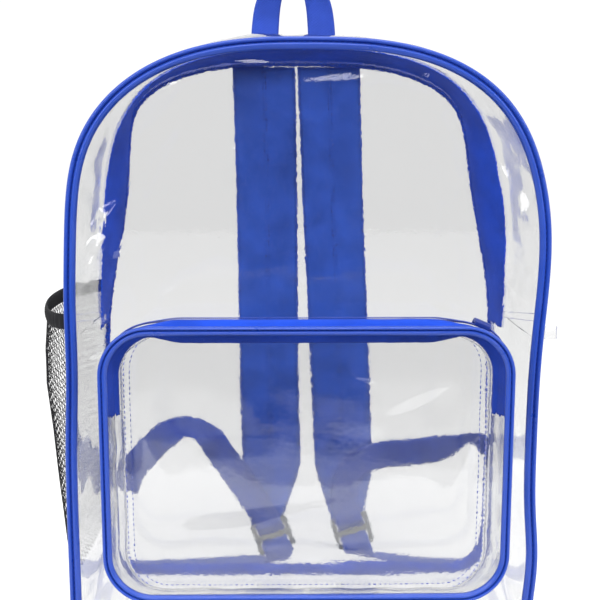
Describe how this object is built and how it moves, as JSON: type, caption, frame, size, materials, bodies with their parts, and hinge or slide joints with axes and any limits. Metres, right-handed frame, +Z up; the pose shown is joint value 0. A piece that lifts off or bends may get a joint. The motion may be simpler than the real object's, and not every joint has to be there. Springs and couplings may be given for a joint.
{
  "type": "clear backpack",
  "caption": "Clear vinyl backpack with an arched zipped main compartment, a zipped front pocket, a side net pocket, a carry handle and slack shoulder straps.",
  "frame": {"origin": "middle of the bottom wall's flat underside, on the surface that the bag stands on", "axes": "+Z up; +X to the right seen from the front; the front pocket faces -Y and the shoulder straps are at +Y"},
  "size_m": [0.3683, 0.2264, 0.5072],
  "materials": {
    "clear_vinyl": "clear flexible vinyl sheet, glossy",
    "piping": "blue vinyl piping over a cord, satin",
    "binding_tape": "blue woven binding tape",
    "zip_tape": "blue woven zip tape",
    "zip_coil": "blue nylon coil",
    "zip_slider": "blue painted metal",
    "pull_cord": "thin braided cord",
    "net": "black knitted net",
    "elastic": "black woven elastic",
    "webbing": "blue woven webbing",
    "strap_fabric": "blue woven fabric, matt",
    "adjuster_plastic": "grey moulded plastic"
  },
  "bodies": {
    "root": {"front_panel": "clear_vinyl", "back_panel": "clear_vinyl", "upper_wall_front": "clear_vinyl", "upper_wall_back": "clear_vinyl", "lower_wall": "clear_vinyl", "pocket_front": "clear_vinyl", "pocket_wall_lower": "clear_vinyl", "pocket_wall_upper": "clear_vinyl", "side_tab": "clear_vinyl", "front_piping": "piping", "pocket_piping": "piping", "back_binding": "binding_tape", "main_zip_tape": "zip_tape", "pocket_zip_tape": "zip_tape", "main_zip_coil": "zip_coil", "pocket_zip_coil": "zip_coil", "main_zip_slider_left": "zip_slider", "main_zip_slider_right": "zip_slider", "main_zip_pull_left": "zip_slider", "main_zip_pull_right": "zip_slider", "pocket_zip_slider": "zip_slider", "pocket_zip_loop": "pull_cord", "mesh_pocket": "net", "mesh_pocket_elastic": "elastic", "haul_handle": "webbing", "shoulder_strap_left": "strap_fabric", "shoulder_strap_right": "strap_fabric", "webbing_left": "webbing", "webbing_right": "webbing", "strap_adjuster_left": "adjuster_plastic", "strap_adjuster_right": "adjuster_plastic"}
  },
  "joints": []
}
